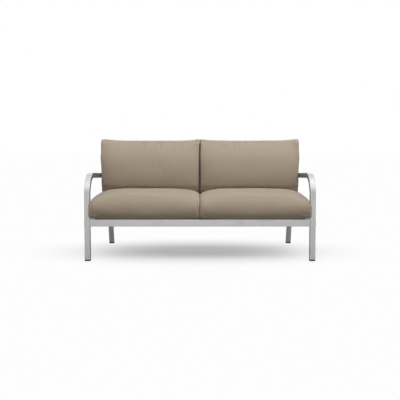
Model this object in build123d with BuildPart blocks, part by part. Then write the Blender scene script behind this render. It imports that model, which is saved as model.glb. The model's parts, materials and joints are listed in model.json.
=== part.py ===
from build123d import *
from math import cos, radians, sin, tan
import os

# Patio loveseat for two: a flat-tube aluminium frame with bent arms, raked
# rear legs and a reclined back, carrying two seat and two back cushions.
# Sizes are in mm. X runs left to right, Y front to back and Z up. The origin
# is on the ground, in the middle of the seat's width and of its depth.
# A depth is counted backwards from the front faces of the front legs.

# Arm and front leg: one tube with a large bend at the front
overall_width = 1524
arm_width = 37
arm_thickness = 35
tube_wall = 2
tube_corner = 4
arm_line_height = 567
arm_bend_radius = 132
arm_slope = 3.6
arm_length = 690

# Rear leg and back upright: one tube with a shallow knee
post_width = 36
post_thickness = 35
post_gap = 23
knee_depth = 605
knee_height = 279
knee_bend_radius = 120
leg_rake = 14.8
back_lean = 12.1
post_rise = 466

# Seat frame
seat_height = 277
rail_height = 47
front_rail_depth = 25
rear_rail_depth = 22
side_rail_width = 25
rail_wall = 1.6
rail_corner = 2
seat_slat_count = 6
seat_slat_width = 45
slat_thickness = 12
slat_wall = 1.2
slat_corner = 1.5
seat_slat_margin = 45
brace_size = 25

# Back frame, with its heights measured up the lean from the knee
back_rail_height = 25
lower_rail_rise = 70
top_rail_rise = 445
back_slat_count = 4
back_slat_height = 35
stile_width = 25
stile_depth = 22

# Feet, caps and plugs
glide_height = 10
glide_plug_height = 26
glide_flare = 0.6
plug_clearance = 0.3
end_cap_thickness = 3
end_cap_plug = 16
hole_cap_radius = 9.5
hole_cap_dome = 1.2
hole_cap_stem = 5

# Bolted joints
bolt_radius = 4
bolt_clearance = 0.3
bolt_head_radius = 7
bolt_head_height = 5
bolt_spacing = 22
access_radius = 8
insert_length = 26
spacer_radius = 12
nut_across_flats = 13
nut_height = 6.5
washer_radius = 8.5
washer_thickness = 1.6
bolt_tip = 2.5

# Cushions
arm_clearance = 0.5
cushion_parting = 1
rest_clearance = 0.3
fold_clearance = 0.9
cover_thickness = 3
core_slack = 2.5
flat_press = 1.2
seat_overhang = 30
seat_crown_height = 447
seat_front_depth = 57
seat_front_height = 436
seat_front_middle = 350
seat_front_foot = 4
seat_fold_depth = 400
seat_fold_height = 440
seat_rear_depth = 566
seat_rear_top = 428
seat_rear_bulge = 14
back_front_depth = 394
back_front_middle = 530
back_foot_depth = 418
back_shoulder_depth = 508
back_shoulder_height = 756
back_crown_height = 794
back_crown_depth = 592
back_rear_top = 752
crown_fall = 8
side_roll = 22
side_lift = 10
side_draw = 6
front_square = 25
corner_ear = 12
shoulder_square = 8
back_side_draw = 50
back_rear_draw = 14
zip_length = 480
zip_height = 7
zip_seat_height = 350
zip_back_height = 470

# Shares of half a cushion's width at which its sections stand
station_shares = (-1, -0.93, -0.84, -0.5, 0, 0.5, 0.84, 0.93, 1)
roll_power_share = 6

# Every cut runs this far past what it cuts
overrun = 20

# Widths that the sizes above settle
arm_middle = overall_width / 2 - arm_width / 2
arm_inner = overall_width / 2 - arm_width
post_middle = arm_inner - post_gap - post_width / 2
post_inner = post_middle - post_width / 2
side_rail_inner = post_middle - side_rail_width / 2

# Depths and heights that they settle
post_top_depth = knee_depth + (post_rise + end_cap_thickness) * sin(radians(back_lean))
rear_reach = post_top_depth + post_thickness / 2 * cos(radians(back_lean))
front = -(rear_reach - seat_overhang) / 2
rail_middle_height = seat_height - rail_height / 2
slat_bottom = seat_height - slat_thickness
rear_rail_middle = knee_depth + (knee_height - rail_middle_height) * tan(radians(leg_rake))
rear_rail_front = rear_rail_middle - rear_rail_depth / 2


def arm_height(depth):
    """Height of the arm's centre line at a depth."""
    return arm_line_height - (depth - arm_thickness / 2) * tan(radians(arm_slope))


def leg_point(height):
    """Depth and height on the rear leg's centre line."""
    return (knee_depth + (knee_height - height) * tan(radians(leg_rake)), height)


def back_face(height):
    """Depth of the flat front of the back frame at a height."""
    lean = radians(back_lean)
    return knee_depth - post_thickness / 2 / cos(lean) + (height - knee_height) * tan(lean)


def at(depth, height):
    """A point of a side plane, from a depth and a height."""
    return (front + depth, height)


def along_back(rise, depth_in=0):
    """A point of a side plane, up the back and in from its front face."""
    lean = radians(back_lean)
    inward = depth_in - post_thickness / 2
    depth = knee_depth + rise * sin(lean) + inward * cos(lean)
    return at(depth, knee_height + rise * cos(lean) - inward * sin(lean))


def sweep_bar(points, bend_radius, middle, width, thickness, corner, mode=Mode.ADD):
    """Sweep a rounded rectangle along a bent line in the side plane at middle."""
    with BuildLine(Plane.YZ.offset(middle)) as path:
        if len(points) > 2:
            FilletPolyline(*points, radius=bend_radius)
        else:
            Line(*points)
    start = Plane(origin=path.line @ 0, x_dir=(1, 0, 0), z_dir=path.line % 0)
    with BuildSketch(start) as section:
        RectangleRounded(width, thickness, corner)
    sweep(section.sketch, path=path.line, mode=mode)


def sweep_tube(points, bend_radius, middle, width, thickness, wall, corner):
    """Sweep a hollow tube along a bent line in the side plane at middle."""
    sweep_bar(points, bend_radius, middle, width, thickness, corner)
    sweep_bar(
        points,
        bend_radius,
        middle,
        width - 2 * wall,
        thickness - 2 * wall,
        corner - wall / 2,
        mode=Mode.SUBTRACT,
    )


def draw_tube(plane, length, width, height, wall, corner):
    """Extrude a straight hollow tube to both sides of a plane."""
    with BuildSketch(plane) as section:
        RectangleRounded(width, height, corner)
        RectangleRounded(width - 2 * wall, height - 2 * wall, corner - wall / 2, mode=Mode.SUBTRACT)
    extrude(section.sketch, amount=length / 2, both=True)


def drill_side(places, radius, start, length):
    """Drill round holes along X at points of the side plane."""
    with BuildSketch(Plane.YZ.offset(start)) as holes:
        with Locations(*places):
            Circle(radius)
    extrude(holes.sketch, amount=length, mode=Mode.SUBTRACT)


def finish(piece, name):
    """Label a piece and write it out."""
    piece.part.label = name
    export_step(piece.part, f"parts/{name}.step")


def finish_pair(piece, name):
    """Write a right-hand piece and its mirror image on the left."""
    finish(piece, "right_" + name)
    with BuildPart() as other:
        mirror(piece.part, about=Plane.YZ)
    finish(other, "left_" + name)


os.makedirs("parts", exist_ok=True)

# Bolt places in the side plane
rail_bolts = [
    at(front_rail_depth / 2, rail_middle_height - bolt_spacing / 2),
    at(front_rail_depth / 2, rail_middle_height + bolt_spacing / 2),
]
arm_bolt_rise = (arm_height(knee_depth) - knee_height) / cos(radians(back_lean))
for step in range(4):
    arm_bolt_depth = knee_depth + arm_bolt_rise * sin(radians(back_lean))
    arm_bolt_rise = (arm_height(arm_bolt_depth) - knee_height) / cos(radians(back_lean))
arm_bolt = along_back(arm_bolt_rise, post_thickness / 2)

# Arms: up the front leg, round the big bend and back down a slight slope
arm_path = [
    at(arm_thickness / 2, glide_height),
    at(arm_thickness / 2, arm_line_height),
    at(arm_length, arm_height(arm_length)),
]
with BuildPart() as arm:
    sweep_tube(arm_path, arm_bend_radius, arm_middle, arm_width, arm_thickness, tube_wall, tube_corner)
    drill_side(rail_bolts + [arm_bolt], bolt_radius + bolt_clearance, arm_inner - overrun, 2 * overrun)
    drill_side(rail_bolts + [arm_bolt], access_radius, arm_middle, arm_width)
finish_pair(arm, "arm")

# Rear posts: a raked leg below the knee, the reclined back above it
post_path = [
    at(*leg_point(-overrun)),
    at(knee_depth, knee_height),
    along_back(post_rise, post_thickness / 2),
]
with BuildPart() as post:
    sweep_tube(post_path, knee_bend_radius, post_middle, post_width, post_thickness, tube_wall, tube_corner)
    split(bisect_by=Plane.XY.offset(glide_height), keep=Keep.TOP)
    drill_side([arm_bolt], bolt_radius + bolt_clearance, post_inner - overrun, post_width + 2 * overrun)
finish_pair(post, "rear_post")

# Front rail between the front legs, and rear rail between the rear posts
with BuildPart() as front_rail:
    rail_plane = Plane.YZ.shift_origin((0, front + front_rail_depth / 2, rail_middle_height))
    draw_tube(rail_plane, 2 * arm_inner, front_rail_depth, rail_height, rail_wall, rail_corner)
finish(front_rail, "front_rail")

with BuildPart() as rear_rail:
    rail_plane = Plane.YZ.shift_origin((0, front + rear_rail_middle, rail_middle_height))
    draw_tube(rail_plane, 2 * post_inner, rear_rail_depth, rail_height, rail_wall, rail_corner)
finish(rear_rail, "rear_rail")

# Side rails, coped at the rear to the faces of the posts
side_rail_reach = knee_depth - front_rail_depth
with BuildPart() as side_rail:
    rail_middle = front + front_rail_depth + side_rail_reach / 2
    rail_plane = Plane(origin=(post_middle, rail_middle, rail_middle_height), x_dir=(1, 0, 0), z_dir=(0, 1, 0))
    draw_tube(rail_plane, side_rail_reach, side_rail_width, rail_height, rail_wall, rail_corner)
    sweep_bar(
        post_path,
        knee_bend_radius,
        post_middle,
        post_width,
        post_thickness,
        tube_corner,
        mode=Mode.SUBTRACT,
    )
    side_rail_solid = side_rail.solids().sort_by(Axis.Y)[0]
with BuildPart() as side_rail:
    add(side_rail_solid)
finish_pair(side_rail, "side_rail")

# Centre brace from front to rear, under the slats
brace_reach = rear_rail_front - front_rail_depth
with BuildPart() as center_brace:
    brace_middle = front + front_rail_depth + brace_reach / 2
    brace_origin = (0, brace_middle, slat_bottom - brace_size / 2)
    brace_plane = Plane(origin=brace_origin, x_dir=(1, 0, 0), z_dir=(0, 1, 0))
    draw_tube(brace_plane, brace_reach, brace_size, brace_size, rail_wall, rail_corner)
finish(center_brace, "center_brace")

# Seat slats from side rail to side rail, flush with the rails' tops
first_slat = front_rail_depth + seat_slat_margin
last_slat = rear_rail_front - seat_slat_margin
slat_pitch = (last_slat - first_slat) / (seat_slat_count - 1)
for number in range(seat_slat_count):
    slat_depth = front + first_slat + number * slat_pitch
    with BuildPart() as seat_slat:
        slat_plane = Plane.YZ.shift_origin((0, slat_depth, seat_height - slat_thickness / 2))
        draw_tube(slat_plane, 2 * side_rail_inner, seat_slat_width, slat_thickness, slat_wall, slat_corner)
    finish(seat_slat, f"seat_slat_{number + 1}")


def back_plane(rise, depth_in):
    """A plane across X on the back, its local X square to the back and its local Y up the lean."""
    y, z = along_back(rise, depth_in)
    lean = radians(back_lean)
    return Plane(origin=(0, y, z), x_dir=(0, cos(lean), -sin(lean)), z_dir=(1, 0, 0))


# Back rails between the posts, as thick as the posts
for name, rise in (("back_lower_rail", lower_rail_rise), ("back_top_rail", top_rail_rise)):
    with BuildPart() as back_rail:
        rail_plane = back_plane(rise, post_thickness / 2)
        draw_tube(rail_plane, 2 * post_inner, post_thickness, back_rail_height, rail_wall, rail_corner)
    finish(back_rail, name)

# Back slats, flush with the posts' fronts
back_pitch = (top_rail_rise - lower_rail_rise) / (back_slat_count + 1)
for number in range(back_slat_count):
    with BuildPart() as back_slat:
        slat_plane = back_plane(lower_rail_rise + (number + 1) * back_pitch, slat_thickness / 2)
        draw_tube(slat_plane, 2 * post_inner, slat_thickness, back_slat_height, slat_wall, slat_corner)
    finish(back_slat, f"back_slat_{number + 1}")

# Centre stile behind the back slats, from rail to rail
stile_length = top_rail_rise - lower_rail_rise - back_rail_height
with BuildPart() as back_stile:
    stile_middle = back_plane((top_rail_rise + lower_rail_rise) / 2, slat_thickness + stile_depth / 2)
    stile_plane = Plane(origin=stile_middle.origin, x_dir=(1, 0, 0), z_dir=stile_middle.y_dir)
    draw_tube(stile_plane, stile_length, stile_width, stile_depth, rail_wall, rail_corner)
finish(back_stile, "back_center_stile")

# Front glides: a foot as wide as the tube with a plug up inside it
with BuildPart() as front_glide:
    with BuildSketch(Plane.XY):
        with Locations((arm_middle, front + arm_thickness / 2)):
            RectangleRounded(arm_width, arm_thickness, tube_corner)
    extrude(amount=glide_height)
    chamfer(front_glide.faces().sort_by(Axis.Z)[0].edges(), glide_flare)
    with BuildSketch(Plane.XY.offset(glide_height)):
        with Locations((arm_middle, front + arm_thickness / 2)):
            inset = 2 * (tube_wall + plug_clearance)
            RectangleRounded(arm_width - inset, arm_thickness - inset, tube_corner - tube_wall / 2)
    extrude(amount=glide_plug_height)
finish_pair(front_glide, "front_glide")

# Rear glides: cut flat on the ground, on the rake of the leg
with BuildPart() as rear_glide:
    foot_line = [at(*leg_point(-overrun)), at(*leg_point(glide_height + overrun))]
    sweep_bar(foot_line, 0, post_middle, post_width, post_thickness, tube_corner)
    split(bisect_by=Plane.XY, keep=Keep.TOP)
    split(bisect_by=Plane.XY.offset(glide_height), keep=Keep.BOTTOM)
    plug_line = [at(*leg_point(glide_height / 2)), at(*leg_point(glide_height + glide_plug_height))]
    inset = 2 * (tube_wall + plug_clearance)
    sweep_bar(
        plug_line,
        0,
        post_middle,
        post_width - inset,
        post_thickness - inset,
        tube_corner - tube_wall / 2,
    )
finish_pair(rear_glide, "rear_glide")


def draw_end_cap(plane, width, thickness):
    """A flat cap on a tube's end, with a plug down inside it."""
    inset = 2 * (tube_wall + plug_clearance)
    with BuildSketch(plane) as cap:
        RectangleRounded(width, thickness, tube_corner)
    extrude(cap.sketch, amount=end_cap_thickness)
    with BuildSketch(plane) as plug:
        RectangleRounded(width - inset, thickness - inset, tube_corner - tube_wall / 2)
    extrude(plug.sketch, amount=-end_cap_plug)


# Caps in the rear ends of the arms and the tops of the posts
with BuildPart() as arm_cap:
    slope = radians(arm_slope)
    arm_end_plane = Plane(
        origin=(arm_middle, front + arm_length, arm_height(arm_length)),
        x_dir=(1, 0, 0),
        z_dir=(0, cos(slope), -sin(slope)),
    )
    draw_end_cap(arm_end_plane, arm_width, arm_thickness)
finish_pair(arm_cap, "arm_end_cap")

with BuildPart() as post_cap:
    top = along_back(post_rise, post_thickness / 2)
    lean = radians(back_lean)
    post_end_plane = Plane(
        origin=(post_middle, top[0], top[1]),
        x_dir=(1, 0, 0),
        z_dir=(0, sin(lean), cos(lean)),
    )
    draw_end_cap(post_end_plane, post_width, post_thickness)
finish_pair(post_cap, "post_top_cap")

# Threaded inserts in the ends of the front rail
with BuildPart() as rail_insert:
    with BuildSketch(Plane.YZ.offset(arm_inner - insert_length)):
        with Locations(at(front_rail_depth / 2, rail_middle_height)):
            inner_depth = front_rail_depth - 2 * rail_wall
            inner_height = rail_height - 2 * rail_wall
            RectangleRounded(inner_depth, inner_height, rail_corner - rail_wall / 2)
        with Locations(*rail_bolts):
            Circle(bolt_radius, mode=Mode.SUBTRACT)
    extrude(amount=insert_length)
finish_pair(rail_insert, "rail_insert")


def draw_bolts(places, head_seat, length):
    """Button-headed bolts along X, their heads on the far side of head_seat."""
    with BuildSketch(Plane.YZ.offset(head_seat)) as heads:
        with Locations(*places):
            Circle(bolt_head_radius)
    extrude(heads.sketch, amount=bolt_head_height)
    crowns = faces().filter_by(Plane.YZ).sort_by(Axis.X)[-len(places):]
    fillet(crowns.edges(), bolt_head_height / 2)
    with BuildSketch(Plane.YZ.offset(head_seat)) as shanks:
        with Locations(*places):
            Circle(bolt_radius)
    extrude(shanks.sketch, amount=-length)


# Bolts through the front legs into the inserts, with their heads in the legs
with BuildPart() as rail_bolt_set:
    draw_bolts(rail_bolts, arm_inner + tube_wall, tube_wall + insert_length - bolt_tip)
    mirror(about=Plane.YZ)
finish(rail_bolt_set, "front_rail_bolts")

# Bolts through the arms, spacers and posts, with a washer and nut on each
arm_bolt_reach = post_gap + tube_wall + post_width + washer_thickness + nut_height + bolt_tip
with BuildPart() as arm_bolt_set:
    draw_bolts([arm_bolt], arm_inner + tube_wall, arm_bolt_reach)
    mirror(about=Plane.YZ)
finish(arm_bolt_set, "arm_bolts")

with BuildPart() as washers:
    with BuildSketch(Plane.YZ.offset(post_inner)):
        with Locations(arm_bolt):
            Circle(washer_radius)
            Circle(bolt_radius, mode=Mode.SUBTRACT)
    extrude(amount=-washer_thickness)
    mirror(about=Plane.YZ)
finish(washers, "arm_washers")

with BuildPart() as nuts:
    with BuildSketch(Plane.YZ.offset(post_inner - washer_thickness)):
        with Locations(arm_bolt):
            RegularPolygon(nut_across_flats / 2, 6, major_radius=False)
            Circle(bolt_radius, mode=Mode.SUBTRACT)
    extrude(amount=-nut_height)
    mirror(about=Plane.YZ)
finish(nuts, "arm_nuts")

with BuildPart() as spacer:
    with BuildSketch(Plane.YZ.offset(arm_inner - post_gap)):
        with Locations(arm_bolt):
            Circle(spacer_radius)
            Circle(bolt_radius + bolt_clearance, mode=Mode.SUBTRACT)
    extrude(amount=post_gap)
finish_pair(spacer, "arm_spacer")

# Domed caps in the access holes of the arms and front legs
with BuildPart() as hole_caps:
    with BuildSketch(Plane.YZ.offset(overall_width / 2)):
        with Locations(*rail_bolts, arm_bolt):
            Circle(hole_cap_radius)
    extrude(amount=hole_cap_dome)
    domes = faces().filter_by(Plane.YZ).sort_by(Axis.X)[-3:]
    fillet(domes.edges(), hole_cap_dome / 2)
    with BuildSketch(Plane.YZ.offset(overall_width / 2)):
        with Locations(*rail_bolts, arm_bolt):
            Circle(access_radius)
    extrude(amount=-hole_cap_stem)
    mirror(about=Plane.YZ)
finish(hole_caps, "hole_caps")

# Cushions. Each form is a loft from side to side through sections of lines
# and arcs, which are lower, thinner and drawn in towards the cushion's sides.
cushion_middle = (arm_inner - arm_clearance + cushion_parting / 2) / 2
cushion_half = (arm_inner - arm_clearance - cushion_parting / 2) / 2


def fold_height(depth, share):
    """Height of the seat where the back cushion stands on it, at a share of the half width."""
    slope = (seat_fold_height - seat_rear_top) / (seat_rear_depth - seat_fold_depth)
    height = seat_fold_height - (depth - seat_fold_depth) * slope
    return height - crown_fall * share**2 - side_roll * abs(share) ** roll_power_share


def draw_seat_section(share, inset, flat_inset):
    """One section of a seat cushion, in depth and height."""
    roll = abs(share) ** roll_power_share
    drop = crown_fall * share**2 + side_roll * roll
    bottom = seat_height + rest_clearance + side_lift * roll + flat_inset - flat_press
    draw = side_draw * roll + inset
    middle = seat_front_middle - drop / 2
    front_foot = at(seat_front_foot + draw, bottom)
    front_middle = at(draw - seat_overhang, middle)
    front_top = at(seat_front_depth - front_square * roll + inset, seat_front_height - drop - inset)
    crown = at((seat_front_depth + seat_fold_depth) / 2, seat_crown_height - drop - inset)
    fold = at(seat_fold_depth, fold_height(seat_fold_depth, share) - inset)
    rear_edge = seat_rear_depth - draw / 2
    rear_top = at(rear_edge, fold_height(rear_edge, share) - inset)
    rear_middle = at(rear_edge + seat_rear_bulge, middle)
    rear_foot = at(rear_edge, bottom)
    with BuildLine() as outline:
        Line(front_foot, rear_foot)
        ThreePointArc(rear_foot, rear_middle, rear_top)
        Line(rear_top, fold)
        ThreePointArc(fold, crown, front_top)
        ThreePointArc(front_top, front_middle, front_foot)
    make_face(outline.edges())


def draw_back_section(share, inset, flat_inset):
    """One section of a back cushion, in depth and height."""
    roll = abs(share) ** roll_power_share
    draw = back_side_draw * roll + inset
    rear = back_rear_draw * roll + rest_clearance + flat_inset - flat_press
    ear = corner_ear * roll - inset
    foot_depth = back_foot_depth + draw
    front_foot = at(foot_depth, fold_height(foot_depth, share) + fold_clearance + inset)
    front_middle = at(back_front_depth + draw, back_front_middle)
    shoulder = at(back_shoulder_depth - shoulder_square * roll + inset, back_shoulder_height + ear)
    crown = at(back_crown_depth, back_crown_height + ear)
    rear_top_height = back_rear_top + ear
    rear_top = at(back_face(rear_top_height) - rear, rear_top_height)
    rear_depth = back_face(seat_rear_top) - rear
    rear_height = fold_height(rear_depth, share) + fold_clearance + inset
    rear_foot = at(back_face(rear_height) - rear, rear_height)
    with BuildLine() as outline:
        Line(front_foot, rear_foot)
        Line(rear_foot, rear_top)
        ThreePointArc(rear_top, crown, shoulder)
        ThreePointArc(shoulder, front_middle, front_foot)
    make_face(outline.edges())


def seat_flat(inset):
    """The flat underside of a seat cushion, pressed on the slats."""
    return Plane.XY.offset(seat_height + rest_clearance + inset)


def back_flat(inset):
    """The flat rear of a back cushion, pressed on the back frame."""
    y, z = along_back(0, -rest_clearance - inset)
    lean = radians(back_lean)
    return Plane(origin=(0, y, z), x_dir=(1, 0, 0), z_dir=(0, -cos(lean), sin(lean)))


def cushion_form(section, flat, inset, flat_inset):
    """Loft a cushion's sections from one side to the other and press its flat."""
    sections = []
    for share in station_shares:
        station = Plane.YZ.offset(cushion_middle + share * (cushion_half - inset))
        with BuildSketch(station) as outline:
            section(share, inset, flat_inset)
        sections.append(outline.sketch)
    with BuildPart() as form:
        loft(sections)
        split(bisect_by=flat(flat_inset), keep=Keep.TOP)
    return form.part


# Each cover is a closed shell round its core, with a zip along its rear
cushion_kinds = (
    ("seat", draw_seat_section, seat_flat, seat_rear_depth, zip_seat_height),
    ("back", draw_back_section, back_flat, back_face(zip_back_height), zip_back_height),
)
core_inset = cover_thickness + core_slack
for kind, section, flat, zip_depth, zip_middle in cushion_kinds:
    shell = cushion_form(section, flat, 0, 0)
    hollow = cushion_form(section, flat, cover_thickness, cover_thickness)
    slot = Pos(cushion_middle, front + zip_depth, zip_middle) * Box(zip_length, 2 * overrun, zip_height)
    with BuildPart() as cover:
        add(shell)
        add(hollow, mode=Mode.SUBTRACT)
        add(slot, mode=Mode.SUBTRACT)
    with BuildPart() as zipper:
        add(shell)
        add(hollow, mode=Mode.SUBTRACT)
        add(slot, mode=Mode.INTERSECT)
    with BuildPart() as core:
        add(cushion_form(section, flat, core_inset, cover_thickness + rest_clearance))
    finish_pair(cover, f"{kind}_cushion_cover")
    finish_pair(zipper, f"{kind}_cushion_zip")
    finish_pair(core, f"{kind}_cushion_core")
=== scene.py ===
import json
from math import cos, pi, radians, sin

import bpy
import numpy as np
from mathutils import Matrix, Vector, noise
from mathutils.bvhtree import BVHTree
from mathutils.kdtree import KDTree

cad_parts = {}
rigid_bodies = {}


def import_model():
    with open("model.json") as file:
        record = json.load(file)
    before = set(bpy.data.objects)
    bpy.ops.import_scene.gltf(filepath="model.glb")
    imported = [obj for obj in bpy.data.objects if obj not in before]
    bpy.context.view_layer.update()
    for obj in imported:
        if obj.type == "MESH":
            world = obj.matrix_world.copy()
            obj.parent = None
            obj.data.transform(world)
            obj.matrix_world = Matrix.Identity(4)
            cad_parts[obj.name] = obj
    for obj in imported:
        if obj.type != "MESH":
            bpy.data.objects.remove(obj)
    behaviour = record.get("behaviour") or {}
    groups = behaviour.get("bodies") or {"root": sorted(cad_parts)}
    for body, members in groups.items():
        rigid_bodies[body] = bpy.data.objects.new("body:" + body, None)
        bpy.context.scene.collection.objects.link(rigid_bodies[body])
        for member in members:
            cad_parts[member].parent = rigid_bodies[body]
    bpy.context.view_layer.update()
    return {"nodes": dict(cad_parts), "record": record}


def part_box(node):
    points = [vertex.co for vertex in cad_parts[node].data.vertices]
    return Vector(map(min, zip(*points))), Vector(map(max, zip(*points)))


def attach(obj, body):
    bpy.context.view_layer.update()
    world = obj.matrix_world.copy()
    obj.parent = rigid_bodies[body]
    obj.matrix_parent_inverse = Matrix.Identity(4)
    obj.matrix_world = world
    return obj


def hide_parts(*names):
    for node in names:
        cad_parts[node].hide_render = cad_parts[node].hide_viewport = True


# Patio loveseat: flat-tube aluminium frame, two seat and two back cushions.
# Lengths are in metres. A depth is counted back from the front legs' faces.
# A share of a cushion's width runs from -1 at the loveseat's middle to 1 at its arm.

bpy.ops.object.select_all(action="SELECT")
bpy.ops.object.delete()
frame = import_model()
nodes = frame["nodes"]
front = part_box("left_arm")[0].y
seat_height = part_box("front_rail")[1].z
arm_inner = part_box("front_rail")[1].x
post_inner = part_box("back_top_rail")[1].x

cushion_parting = 0.001
arm_clearance = 0.0005
resting_gap = 0.0003
cushion_middle = (arm_inner - arm_clearance + cushion_parting / 2) / 2
cushion_half = (arm_inner - arm_clearance - cushion_parting / 2) / 2
inner_side = cushion_middle - cushion_half
outer_side = cushion_middle + cushion_half
back_lean = radians(12.1)


# ---------------------------------------------------------------- camera

camera_distance, camera_height = 3.8, 0.8076
camera_tilt = radians(87)

bpy.ops.object.camera_add(
    location=(0, front - camera_distance, camera_height), rotation=(camera_tilt, 0, 0)
)
camera = bpy.context.object
camera.name = "camera"
camera.data.lens = 52.29
camera.data.sensor_width = 36
camera.data.shift_y = -0.077
bpy.context.scene.camera = camera


# ---------------------------------------------------------------- finishes

class Value:
    """An output of a node, which plain sums turn into more nodes."""

    def __init__(self, finish, node, output):
        self.finish = finish
        self.node = node
        self.socket = node.outputs[output]

    def other(self, output):
        """Another output of the same node."""
        return Value(self.finish, self.node, output)

    def sum(self, operation, first, second=0):
        """A new node that does one sum."""
        return self.finish.add("ShaderNodeMath", {"operation": operation}, {0: first, 1: second})

    def __add__(self, other):
        return self.sum("ADD", self, other)

    def __radd__(self, other):
        return self.sum("ADD", other, self)

    def __sub__(self, other):
        return self.sum("SUBTRACT", self, other)

    def __rsub__(self, other):
        return self.sum("SUBTRACT", other, self)

    def __mul__(self, other):
        return self.sum("MULTIPLY", self, other)

    def __rmul__(self, other):
        return self.sum("MULTIPLY", other, self)

    def sine(self):
        return self.sum("SINE", self)


class Finish:
    """A material or a sky, made node by node."""

    def __init__(self, name, owner=None):
        self.owner = owner or bpy.data.materials.new(name)
        self.owner.use_nodes = True
        self.tree = self.owner.node_tree
        self.tree.nodes.clear()

    def add(self, kind, settings=None, sockets=None, output=0):
        """A new node with its settings, and with values or other nodes in its sockets."""
        node = self.tree.nodes.new(kind)
        for key, setting in (settings or {}).items():
            setattr(node, key, setting)
        for key, given in (sockets or {}).items():
            if isinstance(given, Value):
                self.tree.links.new(given.socket, node.inputs[key])
            else:
                node.inputs[key].default_value = given
        return Value(self, node, output) if len(node.outputs) else None

    def place(self):
        """Where a point is on its piece."""
        return self.add("ShaderNodeTexCoord", output="Object")

    def facing(self):
        """Which way a point of a piece faces."""
        return self.add("ShaderNodeTexCoord", output="Normal")

    def axes(self, vector):
        """The X, Y and Z of a vector."""
        x = self.add("ShaderNodeSeparateXYZ", {}, {0: vector})
        return x, x.other("Y"), x.other("Z")

    def mix(self, share, first, second):
        """A colour between two colours, which are the node's sockets 6 and 7 and its output 2."""
        settings = {"data_type": "RGBA"}
        return self.add("ShaderNodeMix", settings, {0: share, 6: first, 7: second}, 2)

    def clouds(self, place, scale, detail=2.0, stretch=(1, 1, 1), roughness=0.5):
        """Soft noise from 0 to 1, its grain stretched along the axes."""
        if stretch != (1, 1, 1):
            place = self.add("ShaderNodeMapping", {}, {"Vector": place, "Scale": stretch})
        sockets = {"Vector": place, "Scale": scale, "Detail": detail, "Roughness": roughness}
        return self.add("ShaderNodeTexNoise", {}, sockets)

    def ramp(self, value, low, high, start=0.0, end=1.0):
        """A smooth step from start to end as a value goes from low to high."""
        settings = {"interpolation_type": "SMOOTHSTEP"}
        sockets = {"Value": value, "From Min": low, "From Max": high}
        sockets |= {"To Min": start, "To Max": end}
        return self.add("ShaderNodeMapRange", settings, sockets)

    def bump(self, height, depth):
        """A fine relief, as deep as depth between heights of 0 and 1."""
        return self.add("ShaderNodeBump", {}, {"Height": height, "Distance": depth})

    def surface(self, **sockets):
        """Close the material with one plain shader."""
        named = {key.replace("_", " "): given for key, given in sockets.items()}
        shader = self.add("ShaderNodeBsdfPrincipled", {}, named)
        self.add("ShaderNodeOutputMaterial", {}, {"Surface": shader})
        return self.owner


def grey(level, warmth=0.0):
    """A grey, made warmer or cooler by a share of its level."""
    return (level * (1 + warmth), level, level * (1 - warmth), 1)


def coated_aluminium():
    """Satin silver coating with a fine metallic grain and soft handling marks."""
    finish = Finish("coated_aluminium")
    place = finish.place()
    grain = finish.clouds(place, scale=1400)
    peel = finish.clouds(place, scale=260)
    marks = finish.clouds(place, scale=9, detail=5, roughness=0.65)
    smudge = finish.ramp(marks, low=0.48, high=0.72)
    tone = finish.mix(grain, grey(0.303, warmth=-0.004), grey(0.388, warmth=-0.002))
    tone = finish.mix(smudge * 0.35, tone, grey(0.325, warmth=0.008))
    return finish.surface(
        Base_Color=tone,
        Metallic=1.0,
        Roughness=0.34 + 0.1 * smudge + 0.06 * grain,
        Normal=finish.bump(grain * 0.25 + peel, depth=0.00006),
        Specular_IOR_Level=0.5,
    )


def plain_aluminium():
    """Sawn and drilled stock, bright with straight tool marks."""
    finish = Finish("plain_aluminium")
    lines = finish.clouds(finish.place(), scale=60, detail=3, stretch=(40, 2, 2))
    return finish.surface(
        Base_Color=finish.mix(lines, grey(0.55), grey(0.7)),
        Metallic=1.0,
        Roughness=0.28 + 0.2 * lines,
        Normal=finish.bump(lines, depth=0.00004),
    )


def weld_metal():
    """Weld beads under the coating, a little duller than the tubes."""
    finish = Finish("weld_metal")
    grain = finish.clouds(finish.place(), scale=700, detail=3)
    return finish.surface(
        Base_Color=finish.mix(grain, grey(0.38), grey(0.5)),
        Metallic=0.85,
        Roughness=0.42 + 0.12 * grain,
        Normal=finish.bump(grain, depth=0.00008),
    )


def moulded_plastic():
    """Dark moulded nylon, grained, and scuffed pale near the ground."""
    finish = Finish("moulded_plastic")
    place = finish.place()
    height = finish.axes(place)[2]
    grain = finish.clouds(place, scale=900)
    scratches = finish.clouds(place, scale=240, detail=4, stretch=(1, 1, 6), roughness=0.7)
    near_ground = 1 - finish.ramp(height, low=0.0, high=0.006)
    scuff = finish.ramp(scratches, low=0.5, high=0.75) * near_ground
    tone = finish.mix(grain, grey(0.028), grey(0.042))
    return finish.surface(
        Base_Color=finish.mix(scuff * 0.7, tone, grey(0.2, warmth=0.03)),
        Roughness=0.5 + 0.15 * grain + 0.2 * scuff,
        Normal=finish.bump(grain + scratches * 0.3, depth=0.00008),
    )


def zinc_steel():
    """Zinc-plated steel with a faint crystal bloom."""
    finish = Finish("zinc_steel")
    place = finish.place()
    bloom = finish.add("ShaderNodeTexVoronoi", {}, {"Vector": place, "Scale": 420.0}, "Distance")
    fine = finish.clouds(place, scale=1800)
    return finish.surface(
        Base_Color=finish.mix(bloom, (0.5, 0.52, 0.56, 1), (0.66, 0.67, 0.7, 1)),
        Metallic=1.0,
        Roughness=0.24 + 0.22 * bloom,
        Normal=finish.bump(fine, depth=0.00002),
    )


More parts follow.
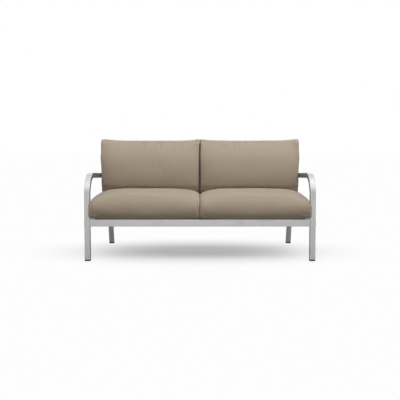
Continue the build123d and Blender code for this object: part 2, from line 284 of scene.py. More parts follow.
def woven_fabric(name, dark, light, yarn):
    """Plain-woven outdoor cloth with slubbed, slightly uneven yarns, and shade painted along its
    seams.
    """
    finish = Finish(name)
    place = finish.place()
    turn = pi / yarn
    along_x, along_y, along_z = [(axis * turn).sine() for axis in finish.axes(place)]
    lie_x, lie_y, lie_z = finish.axes(finish.facing())
    weave = along_x * along_y * lie_z * lie_z
    weave = weave + along_x * along_z * lie_y * lie_y
    weave = weave + along_y * along_z * lie_x * lie_x
    slub = finish.clouds(place, scale=14, detail=3, stretch=(3, 42, 42), roughness=0.6)
    cross = finish.clouds(place, scale=14, detail=3, stretch=(42, 3, 3), roughness=0.6)
    blotch = finish.clouds(place, scale=5, detail=3)
    # The seam attribute holds shade painted along the seams, darker where the puckers gather.
    seam = finish.add("ShaderNodeAttribute", {"attribute_name": "seam"}, output="Fac")
    tone = finish.mix(slub * 0.55 + cross * 0.45, dark, light)
    tone = finish.mix(0.5 - 0.5 * weave, tone, dark)
    tone = finish.mix(finish.ramp(blotch, low=0.35, high=0.75) * 0.12, tone, light)
    # The colour that the painted seam shade darkens the cloth towards.
    seam_shade_colour = [0.45 * c for c in dark[:3]] + [1]
    tone = finish.mix(seam * 0.6, tone, seam_shade_colour)
    return finish.surface(
        Base_Color=tone,
        Roughness=0.86 + 0.08 * slub,
        Normal=finish.bump(weave + slub * 0.5, depth=0.00012),
        Sheen_Weight=0.25,
        Sheen_Roughness=0.5,
        Specular_IOR_Level=0.25,
    )


def zip_nylon():
    """Teeth of the zips, in the cushions' colour but darker."""
    finish = Finish("zip_nylon")
    fine = finish.clouds(finish.place(), scale=1500)
    return finish.surface(
        Base_Color=finish.mix(fine, (0.13, 0.105, 0.08, 1), (0.2, 0.165, 0.125, 1)),
        Roughness=0.38 + 0.12 * fine,
        Normal=finish.bump(fine, depth=0.00003),
    )


fabric = woven_fabric(
    "taupe_fabric", dark=(0.396, 0.32, 0.237, 1), light=(0.567, 0.473, 0.367, 1), yarn=0.0017
)
tape_cloth = woven_fabric(
    "zip_tape", dark=(0.17, 0.14, 0.11, 1), light=(0.26, 0.215, 0.17, 1), yarn=0.0009
)
finishes = {
    "frame_aluminium": coated_aluminium(),
    "insert_aluminium": plain_aluminium(),
    "dark_plastic": moulded_plastic(),
    "steel_fasteners": zinc_steel(),
    "cushion_fabric": fabric,
    "cushion_filling": fabric,
    "zip": zip_nylon(),
}
for part in frame["record"]["subparts"]:
    node = nodes[part["node"]]
    node.data.materials.clear()
    node.data.materials.append(finishes[part["material_slot"]])


# ---------------------------------------------------------------- room

def seen_rays(finish):
    """Whether the camera sees a point directly, and whether it sees it directly or mirrored."""
    direct = finish.add("ShaderNodeLightPath")
    seen = direct + direct.other("Is Glossy Ray") + direct.other("Is Transmission Ray")
    seen.node.use_clamp = True
    return direct, seen


def pale_floor():
    """A pale floor that fades to plain white away from the loveseat."""
    finish = Finish("pale_floor")
    place = finish.place()
    direct, seen = seen_rays(finish)
    oval = finish.add("ShaderNodeMapping", {}, {"Vector": place, "Scale": (0.78, 1.82, 1.0)})
    away = finish.add("ShaderNodeVectorMath", {"operation": "LENGTH"}, {0: oval}, "Value")
    from_middle = {0: place, 1: (0, 0.25, 0)}
    round_away = finish.add("ShaderNodeVectorMath", {"operation": "DISTANCE"}, from_middle, "Value")
    direct_fade = finish.ramp(away, low=0.15, high=1.12, start=0.38, end=1.0)
    mirrored_fade = finish.ramp(round_away, low=0.8, high=1.36, start=0.12, end=1.0)
    fade = mirrored_fade + direct * (direct_fade - mirrored_fade)
    speckle = finish.clouds(place, scale=90, detail=4)
    tone = finish.mix(speckle, grey(0.93), grey(0.95))
    matte = finish.add("ShaderNodeBsdfDiffuse", {}, {"Color": tone})
    dull = finish.add("ShaderNodeBsdfDiffuse", {}, {"Color": grey(0.2)})
    white = finish.add("ShaderNodeEmission", {}, {"Color": grey(0.985), "Strength": 1.0})
    shown = finish.add("ShaderNodeMixShader", {}, {0: fade, 1: matte, 2: white})
    whole = finish.add("ShaderNodeMixShader", {}, {0: seen, 1: dull, 2: shown})
    finish.add("ShaderNodeOutputMaterial", {}, {"Surface": whole})
    return finish.owner


def soft_box(name, place, aim, width, height, power):
    """A studio lamp with a wide soft face."""
    bpy.ops.object.light_add(type="AREA", location=place)
    lamp = bpy.context.object
    lamp.name = name
    lamp.data.shape = "RECTANGLE"
    lamp.data.size = width
    lamp.data.size_y = height
    lamp.data.energy = power
    lamp.rotation_euler = (Vector(aim) - Vector(place)).to_track_quat("-Z", "Y").to_euler()


bpy.ops.mesh.primitive_grid_add(x_subdivisions=8, y_subdivisions=8, size=60, location=(0, 0, 0))
floor = bpy.context.object
floor.name = "floor"
floor.data.materials.append(pale_floor())

bpy.context.scene.world = bpy.data.worlds.new("room")
sky = Finish("sky", bpy.context.scene.world)
level = sky.mix(seen_rays(sky)[1], grey(0.04), grey(1.0))
glow = sky.add("ShaderNodeBackground", {}, {"Color": level, "Strength": 1.0})
sky.add("ShaderNodeOutputWorld", {}, {"Surface": glow})

# Each lamp's name, its place, what it aims at, its width and height, and its watts.
for lamp in (
    ("top_lamp", (0, -0.4, 3.3), (0, 0, 0.4), 6.4, 4.6, 102),
    ("high_front_lamp", (0, -2.8, 2.9), (0, 0, 0.4), 3.8, 2.4, 37),
    ("low_front_lamp", (0, -4.6, 0.25), (0, 0, 0.3), 3.6, 0.4, 19),
    ("right_lamp", (3.2, -1.0, 1.9), (0, 0, 0.45), 1.8, 1.6, 14),
    ("right_high_lamp", (1.45, -0.9, 3.2), (0.75, -0.3, 0.5), 1.2, 1.6, 8),
    ("rear_lamp", (0, 3.0, 2.4), (0, 0, 0.5), 4.0, 1.6, 28),
):
    soft_box(*lamp)

bpy.context.scene.view_settings.view_transform = "Standard"


# ---------------------------------------------------------------- making

def pick(piece):
    """Make this piece the one that is worked on."""
    bpy.ops.object.select_all(action="DESELECT")
    piece.select_set(True)
    bpy.context.view_layer.objects.active = piece


def edit_whole():
    """Go into edit mode with the whole mesh picked."""
    bpy.ops.object.mode_set(mode="EDIT")
    bpy.ops.mesh.select_all(action="SELECT")


def choose_faces(piece, wanted):
    """Go into edit mode with only the faces picked whose middles are wanted."""
    pick(piece)
    bpy.ops.object.mode_set(mode="EDIT")
    bpy.ops.mesh.select_mode(type="FACE")
    bpy.ops.mesh.select_all(action="DESELECT")
    bpy.ops.object.mode_set(mode="OBJECT")
    for face in piece.data.polygons:
        face.select = wanted(face.center)
    bpy.ops.object.mode_set(mode="EDIT")


def settle():
    """Leave edit mode and take the object's place and turn into its mesh."""
    bpy.ops.object.mode_set(mode="OBJECT")
    bpy.ops.object.transform_apply(location=True, rotation=True, scale=True)


def apply(piece, kind, **settings):
    """Add a modifier to a piece and apply it."""
    pick(piece)
    modifier = piece.modifiers.new(kind.lower(), kind)
    for key, setting in settings.items():
        setattr(modifier, key, setting)
    bpy.ops.object.modifier_apply(modifier=modifier.name)


def copied(piece, name):
    """A copy of a piece, with a mesh of its own."""
    copy = piece.copy()
    copy.data = piece.data.copy()
    copy.name = name
    bpy.context.scene.collection.objects.link(copy)
    return copy


def joined(parts):
    """Several objects made one piece."""
    pick(parts[0])
    for part in parts:
        part.select_set(True)
    bpy.ops.object.join()
    return parts[0]


def flip(piece):
    """Turn a right-hand piece into a left-hand one."""
    piece.data.transform(Matrix.Scale(-1, 4, (1, 0, 0)))
    pick(piece)
    edit_whole()
    bpy.ops.mesh.normals_make_consistent(inside=False)
    bpy.ops.object.mode_set(mode="OBJECT")


def read(mesh, what="co"):
    """A mesh's points or their normals, as a table."""
    table = np.empty(len(mesh.vertices) * 3)
    mesh.vertices.foreach_get(what, table)
    return table.reshape(-1, 3)


def write(mesh, places):
    """Move a mesh's points to new places."""
    mesh.vertices.foreach_set("co", places.ravel())
    mesh.update()


def step(value, low, high):
    """A smooth step from 0 at low to 1 at high."""
    share = np.clip((value - low) / (high - low), 0, 1)
    return share * share * (3 - 2 * share)


def band(value, start, full, fading, end):
    """0 up to start, 1 from full to fading and 0 again from end on, with smooth steps."""
    return step(value, start, full) * (1 - step(value, fading, end))


def bell(away, width):
    """1 at no distance away, and next to nothing at more than twice the width."""
    return np.exp(-((away / width) ** 2))


def wander(x, y, z):
    """Soft noise from about -1 to 1 at each of some places, the same in every run."""
    return np.array([noise.noise(Vector(place)) for place in np.broadcast(x, y, z)])


# ---------------------------------------------------------------- seam lines

# The seat's top under the back cushion, from its front edge to its rear edge.
fold_depth, fold_run = 0.4, 0.166
fold_top, fold_fall = 0.440, 0.012

# A seat cushion falls softly all across its width, and its ends roll in sharply.
side_fall = 0.008
end_fall, end_draw, end_lift, end_power = 0.022, 0.006, 0.010, 6

# A seat cushion's rear and its zip, and how far in its bullnose starts at its ends.
seat_rear, rear_swell = 0.566, 0.014
seat_zip_height, back_zip_height = 0.350, 0.470
bullnose_depth, bullnose_draw = 0.057, 0.025

# The front panel of a back cushion: its top, raised at the corners, and its foot.
panel_top_depth, panel_top, corner_rise = 0.540, 0.779, 0.012
foot_depth, foot_draw = 0.418, 0.050

seam_spacing = 0.002
curve_parts = 12


def fold_height(depth, share):
    """Height of the seat under the back cushion."""
    slope = (depth - fold_depth) * fold_fall / fold_run
    return fold_top - slope - side_fall * share**2 - end_fall * abs(share) ** end_power


def seat_ring(share):
    """Points round a seat cushion's section, where a side seam runs."""
    roll = abs(share) ** end_power
    drop = side_fall * share**2 + end_fall * roll
    draw = end_draw * roll
    under = seat_height + resting_gap + end_lift * roll
    middle = seat_zip_height - drop / 2
    rear = seat_rear - draw / 2
    top = bullnose_depth - bullnose_draw * roll
    outline = [
        (0.004 + draw, under),
        (draw - 0.030, middle),
        (top - 0.042, 0.418 - drop),
        (top, 0.436 - drop),
        (0.228, 0.447 - drop),
        (fold_depth, fold_height(fold_depth, share)),
        (rear, fold_height(rear, share)),
        (rear + rear_swell, middle),
        (rear, under),
        (fold_depth, under),
        (0.200, under),
    ]
    x = cushion_middle + share * cushion_half
    return [(x, front + depth, height) for depth, height in outline]


def back_ring(edge):
    """Points round a back cushion's front panel, where its seam runs."""
    side = [
        (edge - 0.005, 0.536, 0.782),
        (edge, 0.516, 0.745),
        (edge, 0.480, 0.660),
        (edge, 0.460, 0.560),
        (edge, 0.466, 0.470),
        (edge - 0.01, 0.474, 0.420),
    ]
    line = []
    for share in (-0.92, -0.6, -0.3, 0, 0.3, 0.6, 0.92):
        line.append((share, panel_top_depth, panel_top + corner_rise * abs(share) ** end_power))
    line += side
    for share in (0.9, 0.6, 0.3, 0, -0.3, -0.6, -0.9):
        foot = foot_depth + foot_draw * abs(share) ** end_power
        line.append((share, foot, fold_height(foot, share)))
    line += [(-share, depth, height) for share, depth, height in reversed(side)]
    return [
        (cushion_middle + share * cushion_half, front + depth, height)
        for share, depth, height in line
    ]


def smooth_loop(points, spacing):
    """Even points along a smooth closed line through some points."""
    points = [Vector(p) for p in points]
    dense = []
    for i in range(len(points)):
        before, start, end, after = [points[(i + k - 1) % len(points)] for k in range(4)]
        for t in np.linspace(0, 1, curve_parts, endpoint=False):
            bend = (-t + 2 * t**2 - t**3) * before + (2 - 5 * t**2 + 3 * t**3) * start
            bend += (t + 4 * t**2 - 3 * t**3) * end + (-(t**2) + t**3) * after
            dense.append(bend / 2)
    dense = np.array(dense + dense[:1])
    lengths = np.concatenate([[0], np.cumsum(np.linalg.norm(np.diff(dense, axis=0), axis=1))])
    even = np.arange(0, lengths[-1], spacing)
    return np.stack([np.interp(even, lengths, dense[:, k]) for k in range(3)], axis=1)


def cover_tree(piece):
    """A search tree of a piece's faces."""
    mesh = piece.data
    return BVHTree.FromPolygons([v.co for v in mesh.vertices], [p.vertices for p in mesh.polygons])


class Seam:
    """A sewn line that lies on a cushion's cover, and the puckers along it."""

    pucker_length, ripple_length, ripple_share = 0.019, 0.008, 0.5
    gather_length, gather_mean, gather_swing, gather_least = 0.09, 0.55, 1.3, 0.1
    spread_rate, spread_mean = 0.07, 0.5

    def __init__(self, ring, tree, seed=0):
        points = smooth_loop(ring, seam_spacing)
        line = np.array([tree.find_nearest(Vector(p))[0] for p in points])
        self.search = KDTree(len(line))
        for i, place in enumerate(line):
            self.search.insert(place, i)
        self.search.balance()
        count = np.arange(len(line))
        run = count * seam_spacing
        coarse = wander(run / self.pucker_length, seed, 0.5)
        fine = wander(run / self.ripple_length, seed, 7.5)
        swing = wander(run / self.gather_length, seed, 3.5)
        gather = np.maximum(self.gather_least, self.gather_mean + self.gather_swing * swing)
        self.wave = (coarse + self.ripple_share * fine) * gather
        self.spread = wander(count * self.spread_rate, seed, 9.5) + self.spread_mean

    def near(self, places):
        """Distance of each point from the seam, and the place along it."""
        found = [self.search.find(p) for p in places]
        return np.array([f[2] for f in found]), np.array([f[1] for f in found])


# ---------------------------------------------------------------- stuffing

weld_distance = 0.00001
cloth_grid = 0.006
cover_gap = 0.0048
seam_held, seam_free = 0.003, 0.011
weight_steps = 20
cloth_frames = 20
broad_rounds = 40
wrinkle_share = 0.3
least_length = 1e-9

# Where a cover is held, as the heights, depths and slants at which that starts and ends.
side_hold, sideways = 0.85, (0.5, 0.85)
slat_heights, fold_depths, facing_up = (0.281, 0.296), (0.36, 0.40), (0.3, 0.7)
rear_depths, beside_zip = (0.5, 0.55), (0.012, 0.03)
frame_slant, back_foot_heights = (0.5, 0.85), (0.436, 0.462)


def stuff(kind, pattern):
    """Swell the form of a right-hand cushion's filling into its stuffed cover."""
    piece = copied(nodes[f"right_{kind}_cushion_core"], f"right_{kind}_cushion_cloth")
    for key in list(piece.keys()):
        del piece[key]
    piece.parent = None
    pick(piece)
    edit_whole()
    bpy.ops.mesh.remove_doubles(threshold=weld_distance)
    bpy.ops.object.mode_set(mode="OBJECT")
    apply(piece, "REMESH", mode="VOXEL", voxel_size=cloth_grid, use_smooth_shade=True)
    pick(piece)
    edit_whole()
    bpy.ops.transform.shrink_fatten(value=cover_gap)
    bpy.ops.object.mode_set(mode="OBJECT")
    mesh = piece.data
    rest = read(mesh)
    held = 1 - pattern["freedom"](rest, read(mesh, "normal"))
    tree = cover_tree(piece)
    for ring, _ in pattern["seams"]:
        away = Seam(ring, tree).near(rest)[0]
        held = np.maximum(held, 1 - step(away, seam_held, seam_free))
    swell(piece, held, pattern["stretch"])
    move = read(mesh) - rest
    broad = soften(mesh, move.copy(), broad_rounds) * (1 - held)[:, None]
    move = broad + wrinkle_share * (move - broad)
    length = np.maximum(np.linalg.norm(move, axis=1), least_length)
    limit = pattern["reach"] * np.tanh(length / pattern["reach"])
    write(mesh, rest + move * (limit / length)[:, None])
    apply(piece, "SUBSURF", levels=1, render_levels=1)
    mesh.materials.clear()
    mesh.materials.append(fabric)
    return piece


def swell(piece, held, stretch):
    """Blow a cover up from inside, with its held places kept."""
    group = piece.vertex_groups.new(name="held")
    levels = np.round(held * weight_steps).astype(int)
    for level in range(1, weight_steps + 1):
        chosen = np.nonzero(levels == level)[0]
        if len(chosen):
            group.add(chosen.tolist(), level / weight_steps, "REPLACE")
    pick(piece)
    modifier = piece.modifiers.new("cloth", "CLOTH")
    cloth = modifier.settings
    cloth.vertex_group_mass = "held"
    cloth.quality = 4
    cloth.use_pressure = True
    cloth.uniform_pressure_force = 4
    cloth.effector_weights.gravity = 0
    cloth.shrink_min = -stretch
    cloth.bending_stiffness = 0.4
    for frame_number in range(1, cloth_frames + 1):
        bpy.context.scene.frame_set(frame_number)
    bpy.ops.object.modifier_apply(modifier=modifier.name)
    bpy.context.scene.frame_set(1)
    piece.vertex_groups.clear()


def soften(mesh, values, rounds):
    """Even out values over a mesh's surface, round by round."""
    ends = np.empty(len(mesh.edges) * 2, dtype=int)
    mesh.edges.foreach_get("vertices", ends)
    first, second = ends[::2], ends[1::2]
    count = np.bincount(ends, minlength=len(values))
    for _ in range(rounds):
        for column in range(3):
            total = np.bincount(first, values[second, column], len(values))
            total += np.bincount(second, values[first, column], len(values))
            values[:, column] = (values[:, column] + total / count) / 2
    return values


def at_sides(normals):
    """How firmly a cushion is held on its sides, at its neighbour and at an arm."""
    return side_hold * step(np.abs(normals[:, 0]), *sideways)


def seat_freedom(places, normals):
    """Where a seat cushion may swell: not on the slats, under the back, at its zip or sides."""
    depth, z = places[:, 1] - front, places[:, 2]
    off_slats = step(z, *slat_heights)
    under_back = step(depth, *fold_depths) * step(normals[:, 2], *facing_up)
    at_zip = step(depth, *rear_depths) * (1 - step(np.abs(z - seat_zip_height), *beside_zip))
    return off_slats * (1 - under_back) * (1 - at_sides(normals)) * (1 - at_zip)


def back_freedom(places, normals):
    """Where a back cushion may swell: not on the frame, at the seat or at its sides."""
    on_frame = step(normals @ leaning_out, *frame_slant)
    off_seat = step(places[:, 2], *back_foot_heights)
    return (1 - on_frame) * off_seat * (1 - at_sides(normals))


# ---------------------------------------------------------------- sewing

# In front of the legs a seat cushion may stand out past the arm's inner side,
# and so may a back cushion above the arm.
front_of_legs = (-0.012, -0.002)
arm_top = 0.582
seat_overhang, back_overhang = 0.006, 0.0078

# The groove of a seam, the width and strength of the shade painted along it, darker at its puckers,
# and the reach of its puckers.
groove_depth, groove_width, seam_shade_width = 0.0016, 0.0028, 0.0024
pucker_reach, reach_spread, pucker_start = 0.018, 0.016, 0.004
held_pucker_share = 0.25
shade_mean, shade_swing, shade_least = 0.62, 0.9, 0.25

# Lumps all over, and the slow wave of the line where two cushions meet.
lump_height, lumps_per_metre = 0.0016, 9
parting_wave, parting_turns, parting_reach = 0.0022, 38, (0.002, 0.07)
edge_valley_across = (0.02, 0.06)


def push(places, spot, reach, move):
    """Move the cloth round a spot, less and less away from it."""
    away = np.linalg.norm(places - (np.array(spot) + [0, front, 0]), axis=1)
    return places + bell(away, reach)[:, None] * np.array(move)


def crease(places, start, end, width, depth):
    """Heights of one soft fold from start to end: a valley with a ridge beside it."""
    ridge_place, ridge_share = 1.7, 0.6
    fade_start, fade_power = 0.15, 0.8
    start = np.array(start) + [0, front, 0]
    end = np.array(end) + [0, front, 0]
    along = end - start
    share = np.clip((places - start) @ along / (along @ along), 0, 1)
    away = np.linalg.norm(places - start - share[:, None] * along, axis=1)
    across = (places - start) @ np.cross(along / np.linalg.norm(along), [0, 1, 0])
    fading = np.clip(share * (1 - fade_start) + fade_start, 0, 1)
    fade = np.sin(pi * fading) ** fade_power
    ridge = bell(away - ridge_place * width, width) * (across > 0)
    return depth * fade * (ridge_share * ridge - bell(away, width))


def fill_seat(places):
    """Fill a seat cushion's front out over the legs, and its crown at the back cushion."""
    bulge, bulge_across, bulge_heights = 0.012, (0.66, 0.715), (0.282, 0.305, 0.39, 0.425)
    crown, crown_depths, crown_heights = 0.0065, (0.27, 0.36, 0.386, 0.402), (0.40, 0.42)
    x, depth, z = places[:, 0].copy(), places[:, 1] - front, places[:, 2]
    side = step(x, *bulge_across) * band(z, *bulge_heights)
    places[:, 0] += bulge * side * (1 - step(depth, *front_of_legs))
    places[:, 2] += crown * band(depth, *crown_depths) * step(z, *crown_heights)
    places = push(places, spot=(0.716, -0.012, 0.290), reach=0.030, move=(0.010, -0.005, -0.0085))
    places = push(places, spot=(0.008, -0.010, 0.290), reach=0.026, move=(-0.005, -0.004, -0.009))
    depth = places[:, 1] - front
    widest = outer_side + seat_overhang * (1 - step(depth, *front_of_legs))
    places[:, 0] = np.minimum(places[:, 0], widest)
    places[:, 2] = np.maximum(places[:, 2], seat_height + resting_gap)
    return places


def fill_back(places):
    """Fill a back cushion's sides above the arms and its upper corners, and tuck its foot."""
    bulge, bulge_heights, bulge_across = 0.0075, (arm_top, 0.68), (0.64, 0.71)
    tuck, tuck_heights, tuck_depths = 0.0065, (0.442, 0.472), (0.43, 0.47)
    overhang_heights = (arm_top, 0.64)
    x, z = places[:, 0], places[:, 2]
    places[:, 0] += bulge * step(z, *bulge_heights) * step(x, *bulge_across)
    front_face = 1 - step(places[:, 1] - front, *tuck_depths)
    places[:, 1] += tuck * (1 - step(z, *tuck_heights)) * front_face
    places = push(places, spot=(0.722, 0.535, 0.785), reach=0.042, move=(0.012, -0.016, 0.006))
    places = push(places, spot=(0.002, 0.535, 0.785), reach=0.034, move=(-0.004, -0.010, 0.002))
    widest = outer_side + back_overhang * step(places[:, 2], *overhang_heights)
    places[:, 0] = np.minimum(places[:, 0], widest)
    return places


def bullnose_pleats(places, seed):
    """Heights of the fine upright pleats beside the side seams of a seat's front."""
    height, pitch, reach, seam_width = 0.0017, 0.0105, 0.042, (0.003, 0.009)
    sway_rate, sway_turn = 14, 1.6
    depths, heights = (0.0, 0.06), (0.285, 0.305, 0.385, 0.425)
    x, depth, z = places[:, 0], places[:, 1] - front, places[:, 2]
    window = (1 - step(depth, *depths)) * band(z, *heights)
    pleats = np.zeros(len(places))
    for k, inward in enumerate((x, outer_side + seat_overhang - x)):
        sway = wander(seed + k, 0, z * sway_rate)
        lines = np.sin(2 * pi * inward / pitch + sway_turn * sway)
        pleats += lines * bell(inward, reach) * step(inward, *seam_width)
    return height * pleats * window


def top_gathers(places, seed):
    """Heights of the short upright gathers below the top seam of a back cushion."""
    height, broad_rate, fine_rate, fine_share = 0.0036, 44, 95, 0.4
    heights, depths = (0.712, 0.756), (0.530, 0.550)
    x, depth, z = places[:, 0], places[:, 1] - front, places[:, 2]
    window = step(z, *heights) * (1 - step(depth, *depths))
    broad = wander(seed, 4.5, x * broad_rate)
    fine = wander(seed, 8.5, x * fine_rate)
    return height * (broad + fine_share * fine) * window


def sew(piece, pattern, hand, seed):
    """Fill a cushion out and draw its seams in, with the puckers and folds beside them, and paint
    shade along the seams.
    """
    mesh = piece.data
    write(mesh, pattern["fill"](read(mesh)))
    tree = cover_tree(piece)
    places, normals = read(mesh), read(mesh, "normal")
    loose = pattern["freedom"](places, normals)
    raised = np.zeros(len(places))
    shade = np.zeros(len(places))
    for k, (ring, pucker) in enumerate(pattern["seams"]):
        seam = Seam(ring, tree, seed + k)
        away, index = seam.near(places)
        raised -= groove_depth * bell(away, groove_width)
        reach = pucker_reach + reach_spread * seam.spread[index]
        fade = np.exp(-away / reach) * (1 - bell(away, pucker_start))
        give = held_pucker_share + (1 - held_pucker_share) * loose
        raised += pucker * seam.wave[index] * fade * give
        # Shade painted along the seam, darker where the puckers gather.
        pucker_shade = np.clip(shade_mean + shade_swing * seam.wave[index], shade_least, 1)
        shade = np.maximum(shade, bell(away, seam_shade_width) * pucker_shade)
    for ring, valley, width in pattern["edges"]:
        away = Seam(ring, tree).near(places)[0]
        raised -= valley * bell(away, width) * (1 - step(places[:, 0], *edge_valley_across))
    for start, end, width, depth in pattern["folds"]:
        raised += crease(places, start, end, width, depth) * loose
    raised += pattern["gathers"](places, seed)
    shift = Vector((seed, 0, 0))
    lumps = np.array([noise.noise(Vector(p) * lumps_per_metre + shift) for p in places])
    raised += lump_height * lumps * loose
    widest = np.maximum(places[:, 0], outer_side)
    places = places + normals * raised[:, None]
    places[:, 0] = np.clip(places[:, 0], inner_side, widest)
    close = 1 - step(np.abs(places[:, 0]), *parting_reach)
    places[:, 0] += hand * parting_wave * np.sin(places[:, 1] * parting_turns) * close
    write(mesh, places)
    # Keep the painted seam shade as the seam attribute, which darkens the fabric's colour.
    attribute = mesh.attributes.new("seam", "FLOAT", "POINT")
    attribute.data.foreach_set("value", shade.astype(np.float32))
    if hand < 0:
        flip(piece)


def rest_on(piece, facing, face):
    """Press a cushion flat against a face of the frame, a hair's breadth off."""
    places = read(piece.data)
    past = np.maximum(places @ facing - face + resting_gap, 0)
    write(piece.data, places - past[:, None] * facing)


leaning_out = np.array([0, cos(back_lean), -sin(back_lean)])
leaning_face = (read(nodes["back_slat_2"].data) @ leaning_out).min()
downward = np.array([0, 0, -1.0])

# A cover's stretch as it is blown up, and the reach that its swelling keeps within.
# Each seam is a ring with the height of its puckers, and each edge a ring with the
# depth and width of the valley along it. A fold has its two ends, width and depth.
patterns = {
    "seat": {
        "stretch": 0.008,
        "reach": 0.007,
        "freedom": seat_freedom,
        "fill": fill_seat,
        "gathers": bullnose_pleats,
        "seams": [(seat_ring(0.945), 0.0018), (seat_ring(-0.965), 0.0016)],
        "edges": [(seat_ring(-1.0), 0.0030, 0.009)],
        "folds": [
            ((0.726, -0.004, 0.292), (0.655, -0.028, 0.330), 0.0045, 0.0026),
            ((0.728, -0.010, 0.318), (0.690, -0.026, 0.352), 0.0040, 0.0020),
            ((0.010, -0.008, 0.290), (0.060, -0.028, 0.322), 0.0040, 0.0018),
        ],
        "rests_on": (downward, -seat_height),
    },
    "back": {
        "stretch": 0.010,
        "reach": 0.009,
        "freedom": back_freedom,
        "fill": fill_back,
        "gathers": top_gathers,
        "seams": [(back_ring(0.962), 0.0052)],
        "edges": [(back_ring(1.0), 0.0085, 0.018)],
        "folds": [
            ((0.716, 0.470, 0.440), (0.655, 0.412, 0.476), 0.0055, 0.0040),
            ((0.718, 0.468, 0.458), (0.682, 0.416, 0.502), 0.0045, 0.0034),
            ((0.690, 0.455, 0.436), (0.618, 0.408, 0.462), 0.0050, 0.0030),
            ((0.720, 0.470, 0.500), (0.690, 0.440, 0.540), 0.0045, 0.0020),
            ((0.006, 0.470, 0.440), (0.070, 0.410, 0.468), 0.0050, 0.0028),
            ((0.014, 0.455, 0.438), (0.100, 0.408, 0.456), 0.0045, 0.0020),
        ],
        "rests_on": (leaning_out, leaning_face),
    },
}
right_cushions = {kind: stuff(kind, pattern) for kind, pattern in patterns.items()}
for side, hand, kind, fill, seed in (
    ("left", -1, "seat", 0.85, 21),
    ("left", -1, "back", 0.7, 31),
    ("right", 1, "seat", 0.85, 3),
    ("right", 1, "back", 0.7, 11),
):
    cushion = right_cushions[kind]
    if side == "left":
        cushion = copied(cushion, f"left_{kind}_cushion_cloth")
    sew(cushion, patterns[kind], hand, seed)
    rest_on(cushion, *patterns[kind]["rests_on"])
    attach(cushion, f"{side}_{kind}_cushion")
    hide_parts(f"{side}_{kind}_cushion_cover", f"{side}_{kind}_cushion_core")


# ---------------------------------------------------------------- zips

zip_length = 0.48
slider_stop = 0.006
tooth_pitch, row_parting = 0.003, 0.0016
tooth_place, tooth_size = (0.0012, 0.0011, 0.0008), (0.0015, 0.0014, 0.0022)
tooth_bevel = 0.00035
tape_height, tape_thickness = 0.011, 0.0006
slider_place, slider_size = (0, 0.002, 0), (0.0095, 0.0028, 0.0074)
slider_bevel = 0.0008
pull_place, pull_width, pull_height = (0, 0.0042, -0.0095), 0.0058, 0.022
pull_thickness, pull_bevel = 0.0011, 0.0003
pull_hole_half, pull_hole_low, pull_hole_high = 0.0008, -0.019, -0.011
probe_half, probe_count, evened_over = 0.25, 41, 5


def block(place, size, bevel, segments):
    """A box with its edges broken."""
    bpy.ops.object.select_all(action="DESELECT")
    bpy.ops.mesh.primitive_cube_add(size=1, location=place)
    edit_whole()
    bpy.ops.transform.resize(value=size, center_override=place)
    bpy.ops.mesh.bevel(offset=bevel, segments=segments)
    settle()
    return bpy.context.object


def sheet(place, width, height, columns, rows):
    """An upright flat sheet that faces front and rear."""
    bpy.ops.object.select_all(action="DESELECT")
    bpy.ops.mesh.primitive_grid_add(
        x_subdivisions=columns, y_subdivisions=rows, size=1, location=place, rotation=(pi / 2, 0, 0)
    )
    edit_whole()
    bpy.ops.transform.resize(value=(width, 1, height), center_override=place)
    settle()
    return bpy.context.object


def zip_chain(length):
    """A straight closed zip along X, its face towards +Y: two tapes and two rows of teeth."""
    teeth = block(tooth_place, tooth_size, tooth_bevel, segments=1)
    apply(
        teeth,
        "ARRAY",
        count=int(length / tooth_pitch),
        use_relative_offset=False,
        use_constant_offset=True,
        constant_offset_displace=(tooth_pitch, 0, 0),
    )
    others = copied(teeth, "other_teeth")
    others.data.transform(Matrix.Translation((tooth_pitch / 2, 0, -row_parting)))
    tape = sheet((length / 2, 0, 0), length, tape_height, columns=96, rows=4)
    apply(tape, "SOLIDIFY", thickness=tape_thickness, offset=0)
    tape.data.materials.append(tape_cloth)
    teeth.data.materials.append(finishes["zip"])
    others.data.materials.append(finishes["zip"])
    return joined([tape, teeth, others])


def zip_slider():
    """A slider with its pull hanging below it, at X = 0 and facing +Y."""
    body = block(slider_place, slider_size, slider_bevel, segments=2)
    pull = sheet(pull_place, pull_width, pull_height, columns=3, rows=7)
    choose_faces(
        pull,
        lambda place: abs(place.x) < pull_hole_half and pull_hole_low < place.z < pull_hole_high,
    )
    bpy.ops.mesh.delete(type="FACE")
    bpy.ops.object.mode_set(mode="OBJECT")
    apply(pull, "SOLIDIFY", thickness=pull_thickness, offset=0)
    apply(pull, "BEVEL", width=pull_bevel, segments=2, limit_method="ANGLE")
    for part in (body, pull):
        part.data.materials.append(finishes["steel_fasteners"])
    return joined([body, pull])


def lay_on_rear(piece, cushion, height, lean):
    """Lay a zip that is modelled along X on a cushion's rear at a height."""
    tree = cover_tree(cushion)
    across = np.linspace(cushion_middle - probe_half, cushion_middle + probe_half, probe_count)
    rear = [tree.ray_cast(Vector((x, 1, height)), Vector((0, -1, 0)))[0].y for x in across]
    padded = np.pad(rear, evened_over // 2, mode="edge")
    even = np.convolve(padded, np.ones(evened_over) / evened_over, mode="valid")
    piece.data.transform(Matrix.Rotation(-lean, 4, "X"))
    places = read(piece.data)
    places[:, 1] += np.interp(places[:, 0], across, even) + resting_gap
    places[:, 2] += height
    write(piece.data, places)


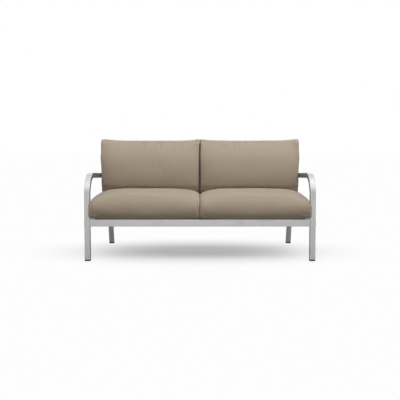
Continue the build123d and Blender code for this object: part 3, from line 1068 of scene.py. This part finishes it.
zip_lines = {"seat": (seat_zip_height, 0), "back": (back_zip_height, back_lean)}
zip_start = cushion_middle - zip_length / 2
for side in ("right", "left"):
    for kind, (height, lean) in zip_lines.items():
        chain = zip_chain(zip_length)
        chain.data.transform(Matrix.Translation((zip_start, 0, 0)))
        slider = zip_slider()
        slider.data.transform(Matrix.Translation((zip_start + slider_stop, 0, 0)))
        for piece, name in ((chain, "zip_chain"), (slider, "zip_slider")):
            piece.name = f"{side}_{kind}_cushion_{name}"
            lay_on_rear(piece, right_cushions[kind], height, lean)
            if side == "left":
                flip(piece)
            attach(piece, f"{side}_{kind}_cushion")
            "zip" if name == "zip_chain" else "steel_fasteners"
        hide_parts(f"{side}_{kind}_cushion_zip")


# ---------------------------------------------------------------- welds

bead_sides, bead_radius = 8, 0.0012
ripple_count, ripple_pitch = 15, 0.0016
ripple_swell, bead_start = 1.16, 1.5
tip_length, tip_share = 0.001, 0.5

# A weld stops short of the rounded corners of the tube that it runs along.
tube_corner, slat_corner, brace_top = 0.003, 0.004, 0.002
side_rail_top = 0.016


def weld_bead():
    """One rippled bead along X, to be copied to each welded edge."""
    bpy.ops.object.select_all(action="DESELECT")
    bpy.ops.mesh.primitive_circle_add(
        vertices=bead_sides, radius=bead_radius, fill_type="NGON", rotation=(0, pi / 2, 0)
    )
    bead = bpy.context.object
    edit_whole()
    sizes = [ripple_swell if k % 2 else 1 / ripple_swell for k in range(ripple_count)]
    sizes[0] = bead_start
    rings = [(ripple_pitch, size) for size in sizes] + [(tip_length, tip_share)]
    for length, size in rings:
        bpy.ops.mesh.extrude_region_move(TRANSFORM_OT_translate={"value": (length, 0, 0)})
        bpy.ops.transform.resize(value=(1, size, size), center_override=(0, 0, 0))
    bpy.ops.mesh.select_all(action="SELECT")
    bpy.ops.mesh.normals_make_consistent(inside=False)
    settle()
    for face in bead.data.polygons:
        face.use_smooth = True
    return bead


def span(node, direction):
    """The least and greatest reach of a node along a direction."""
    reach = read(nodes[node].data) @ direction
    return reach.min(), reach.max()


def back_weld_edges():
    """Ends of the welds between the rails and slats of the back and the posts."""
    up = np.array([0, sin(back_lean), cos(back_lean)])

    def corner(hand, out, rise):
        return np.array([hand * post_inner, 0, 0]) + leaning_out * out + up * rise

    edges = []
    for name in ["back_lower_rail", "back_top_rail"] + [f"back_slat_{i}" for i in range(1, 5)]:
        inner, outer = span(name, leaning_out)
        low, high = span(name, up)
        for hand in (-1, 1):
            for rise in (low, high):
                start = corner(hand, inner + tube_corner, rise)
                edges.append((start, corner(hand, outer - tube_corner, rise)))
            start = corner(hand, outer, low + tube_corner)
            edges.append((start, corner(hand, outer, high - tube_corner)))
    return edges


def seat_weld_edges():
    """Ends of the welds between the slats, brace, rear rail and side rails of the seat."""
    edges = []
    for number in range(1, 7):
        low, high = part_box(f"seat_slat_{number}")
        for x in (low.x, high.x):
            edges.append(((x, low.y + slat_corner, low.z), (x, high.y - slat_corner, low.z)))
    low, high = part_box("center_brace")
    for y in (low.y, high.y):
        edges.append(((low.x + tube_corner, y, low.z), (high.x - tube_corner, y, low.z)))
        for x in (low.x, high.x):
            edges.append(((x, y, low.z + tube_corner), (x, y, high.z - brace_top)))
    low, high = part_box("rear_rail")
    for x in (low.x, high.x):
        for y in (low.y, high.y):
            edges.append(((x, y, low.z + slat_corner), (x, y, high.z - slat_corner)))
    for name in ("left_side_rail", "right_side_rail"):
        low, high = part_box(name)
        for x in (low.x, high.x):
            edges.append(((x, low.y, low.z + slat_corner), (x, low.y, high.z - side_rail_top)))
    return [(np.array(start), np.array(end)) for start, end in edges]


master = weld_bead()
bead_length = max(v.co.x for v in master.data.vertices)
beads = []
for start, end in back_weld_edges() + seat_weld_edges():
    bead = copied(master, "weld_bead")
    along = Vector(end - start)
    turn = along.to_track_quat("X", "Z").to_matrix().to_4x4()
    stretch = Matrix.Diagonal((along.length / bead_length, 1, 1, 1))
    bead.data.transform(Matrix.Translation(Vector(start)) @ turn @ stretch)
    beads.append(bead)
welds = joined(beads)
bpy.data.objects.remove(master)
welds.name = "frame_weld_beads"
welds.data.materials.append(weld_metal())
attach(welds, "frame")
